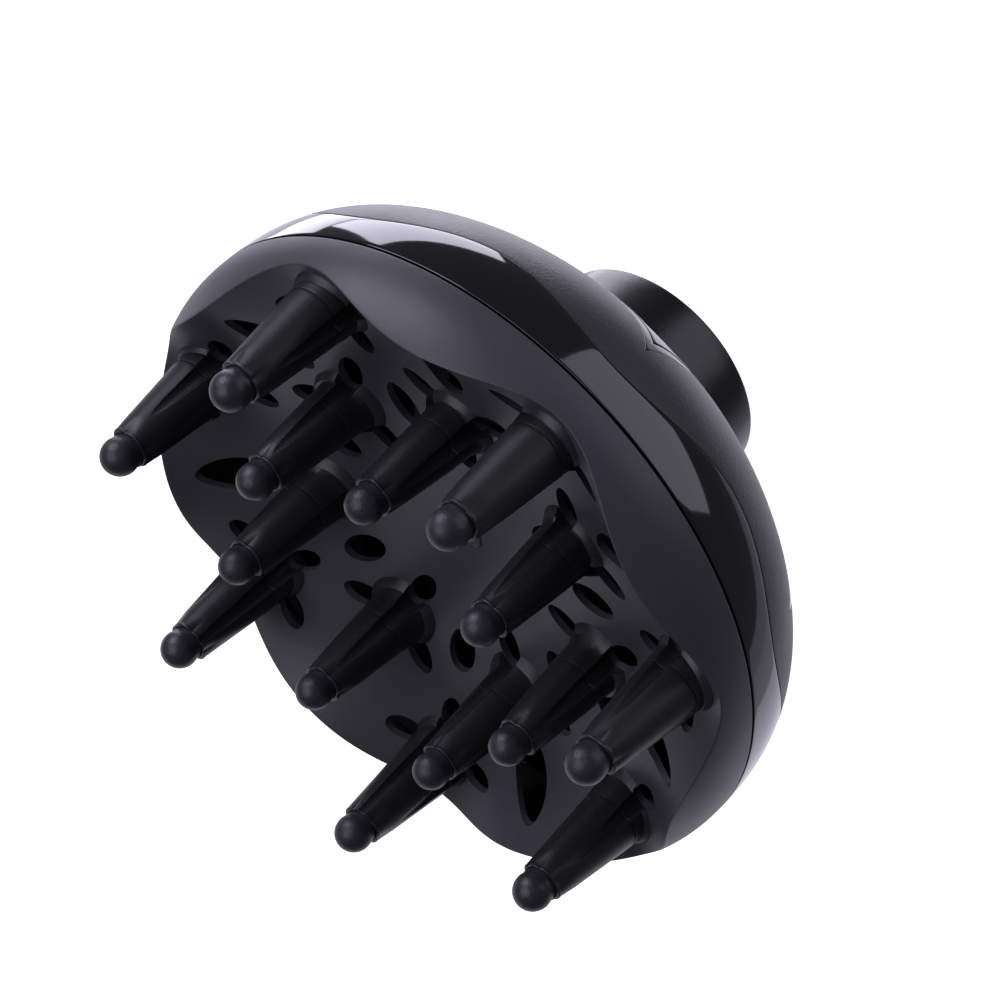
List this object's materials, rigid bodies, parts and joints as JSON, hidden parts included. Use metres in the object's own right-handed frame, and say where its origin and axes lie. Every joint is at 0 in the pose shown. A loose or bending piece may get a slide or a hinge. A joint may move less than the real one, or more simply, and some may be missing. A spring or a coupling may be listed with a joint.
{
  "type": "dryer diffuser",
  "caption": "Hair dryer diffuser: wavy-edged vented dish with two rings of ball-tipped fingers on a round glossy housing with a matt grip band and a slip-on nozzle collar.",
  "frame": {"origin": "centre of the collar's rear rim, on the plane the diffuser stands on", "axes": "+Z along the body's axis, out of the dish and along the fingers; +X towards the first outer finger"},
  "size_m": [0.15, 0.15, 0.104],
  "materials": {
    "dish_plastic": "satin black, fine texture",
    "finger_plastic": "satin black, fine texture",
    "tip_plastic": "satin black",
    "shell_plastic": "high gloss black",
    "band_plastic": "matt black with a fine grain",
    "collar_plastic": "satin black",
    "inner_plastic": "plain black",
    "screw_steel": "zinc-plated"
  },
  "bodies": {
    "root": {"front_dish": "dish_plastic", "finger_outer_1": "finger_plastic", "finger_outer_2": "finger_plastic", "finger_outer_3": "finger_plastic", "finger_outer_4": "finger_plastic", "finger_outer_5": "finger_plastic", "finger_outer_6": "finger_plastic", "finger_outer_7": "finger_plastic", "finger_inner_1": "finger_plastic", "finger_inner_2": "finger_plastic", "finger_inner_3": "finger_plastic", "finger_inner_4": "finger_plastic", "finger_inner_5": "finger_plastic", "finger_inner_6": "finger_plastic", "finger_inner_7": "finger_plastic", "tip_outer_1": "tip_plastic", "tip_outer_2": "tip_plastic", "tip_outer_3": "tip_plastic", "tip_outer_4": "tip_plastic", "tip_outer_5": "tip_plastic", "tip_outer_6": "tip_plastic", "tip_outer_7": "tip_plastic", "tip_inner_1": "tip_plastic", "tip_inner_2": "tip_plastic", "tip_inner_3": "tip_plastic", "tip_inner_4": "tip_plastic", "tip_inner_5": "tip_plastic", "tip_inner_6": "tip_plastic", "tip_inner_7": "tip_plastic", "main_shell": "shell_plastic", "grip_band": "band_plastic", "rear_cover": "shell_plastic", "nozzle_collar": "collar_plastic", "collar_ring": "inner_plastic", "air_deflector": "inner_plastic", "deflector_screws": "screw_steel"}
  },
  "joints": []
}
